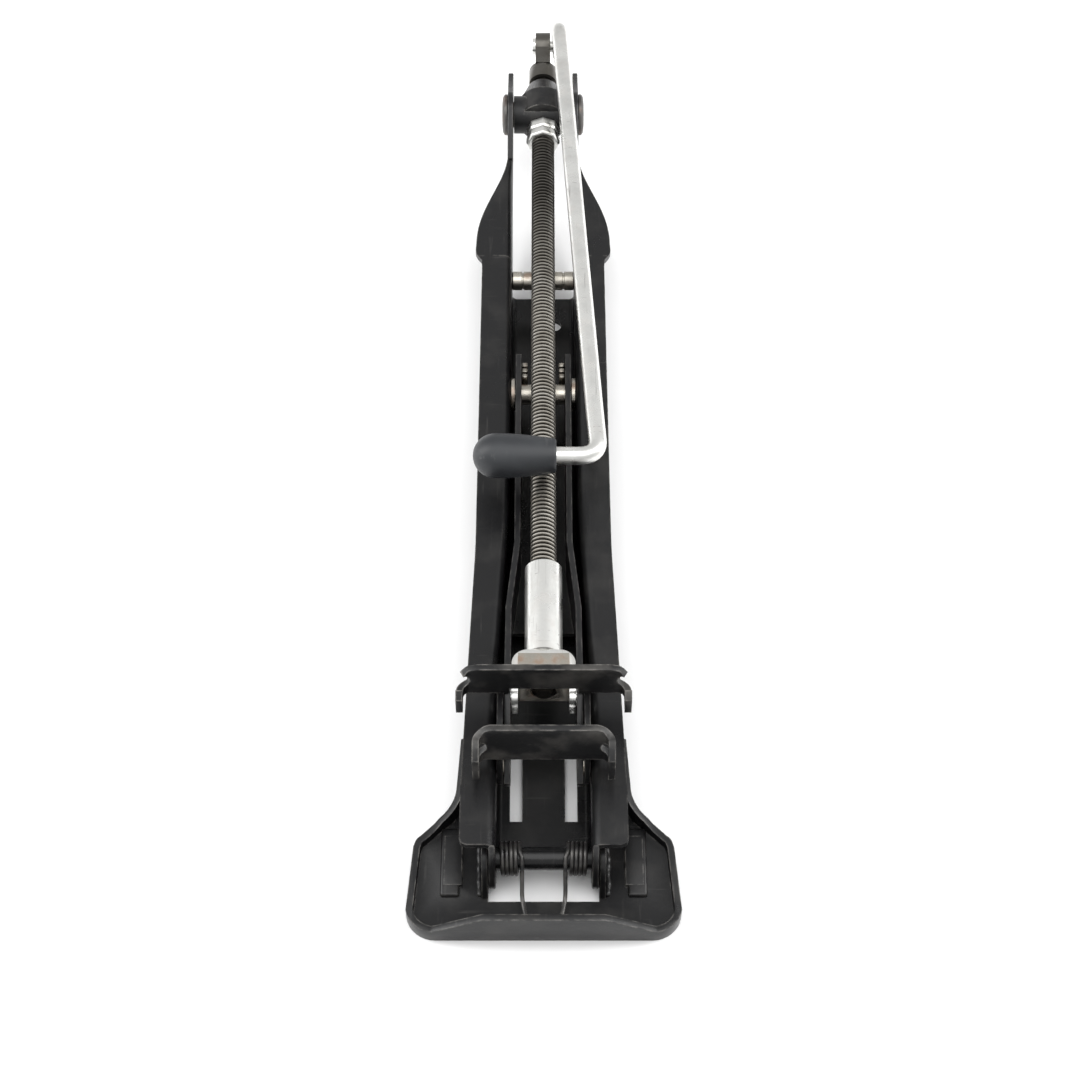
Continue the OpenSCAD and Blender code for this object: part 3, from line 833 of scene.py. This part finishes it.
# ---- The grip ----
# A moulded plastic grip that spins on the end of the crank. It tapers towards the rod and has a
# full domed end. Dark grey, matt, with a little dust.
grip_plastic, tree, shader = new_finish("grip_plastic")
handled = use(tree, blotches, Scale=70.0, Low=0.35, High=0.75)
dusty = use(tree, scratches, Scale=380.0, Amount=0.35)
colour = tint(tree, (0.013, 0.0145, 0.017), (0.025, 0.0275, 0.031), handled)
tree.links.new(tint(tree, colour, (0.1, 0.1, 0.1), dusty), shader.inputs["Base Color"])
tree.links.new(ramp(tree, handled, 0, 1, 0.42, 0.58), shader.inputs["Roughness"])
bump(tree, shader, noise(tree, 800.0, 3.0), 0.12, 0.0003)
dome_x, dome_r = -22.5, 10.5
grip_profile = [(6, 4.6), (6, 7.4), (5.3, 8.1)]
for k in range(13):
    u = k / 12
    grip_profile.append((4.6 + (dome_x - 4.6) * u, 8.25 + (dome_r - 8.25) * math.sin(u * math.pi / 2)))
for k in range(1, 13):
    a = math.radians(90 - 90 * k / 12)
    grip_profile.append((dome_x - 10.4 * math.cos(a), max(dome_r * math.sin(a), 0.05)))
grip = turned("grip_moulding", grip_profile, "X", 0, grip_t, rod_z, 64)
complete(grip, "grip", "grip_plastic", grip_plastic, "crank_grip", smooth=45)


# ---- Floor, lights and camera ----
# A plain white table under soft studio lamps: one wide lamp above and two long ones at the sides,
# which draw the bright lines along the bends.
table_paint, tree, shader = new_finish("table_paint")
shader.inputs["Base Color"].default_value = (0.92, 0.92, 0.92, 1)
shader.inputs["Roughness"].default_value = 0.9
shader.inputs["Specular IOR Level"].default_value = 0.1
table_mesh = bpy.data.meshes.new("table")
reach = 4
table_mesh.from_pydata([(-reach, -reach, 0), (reach, -reach, 0), (reach, reach, 0), (-reach, reach, 0)], [],
                       [(0, 1, 2, 3)])
table = bpy.data.objects.new("table", table_mesh)
bpy.context.scene.collection.objects.link(table)
table.data.materials.append(table_paint)

world = bpy.data.worlds.new("studio")
bpy.context.scene.world = world
world.use_nodes = True
world.node_tree.nodes["Background"].inputs["Color"].default_value = (1, 1, 1, 1)
world.node_tree.nodes["Background"].inputs["Strength"].default_value = 0.7


def lamp(name, where_to, aim, wide_m, tall_m, power):
    """A soft rectangular lamp that looks at a point."""
    data = bpy.data.lights.new(name, "AREA")
    data.shape = "RECTANGLE"
    data.size = wide_m
    data.size_y = tall_m
    data.energy = power
    obj = bpy.data.objects.new(name, data)
    bpy.context.scene.collection.objects.link(obj)
    obj.location = where_to
    obj.rotation_euler = (Vector(aim) - Vector(where_to)).to_track_quat("-Z", "Y").to_euler()


middle = place(0, 200, 20)
lamp("lamp_above", middle + Vector((0, -0.35, 1.5)), middle, 1.4, 1.4, 12)
lamp("lamp_left", middle + Vector((-1.1, 0.1, 0.75)), middle, 0.5, 1.5, 13)
lamp("lamp_right", middle + Vector((1.1, 0.1, 0.75)), middle, 0.5, 1.5, 13)

tilt = math.radians(54)
distance = 1.010
lens_mm = 72.6667
aim = place(-1.6, 151.3, 40)
camera_data = bpy.data.cameras.new("camera")
camera_data.sensor_width = 36
camera_data.lens = lens_mm
camera = bpy.data.objects.new("camera", camera_data)
camera.location = aim + Vector((0, -math.cos(tilt), math.sin(tilt))) * distance
camera.rotation_euler = (math.pi / 2 - tilt, 0, 0)
bpy.context.scene.collection.objects.link(camera)
bpy.context.scene.camera = camera
bpy.context.scene.view_settings.view_transform = "Standard"
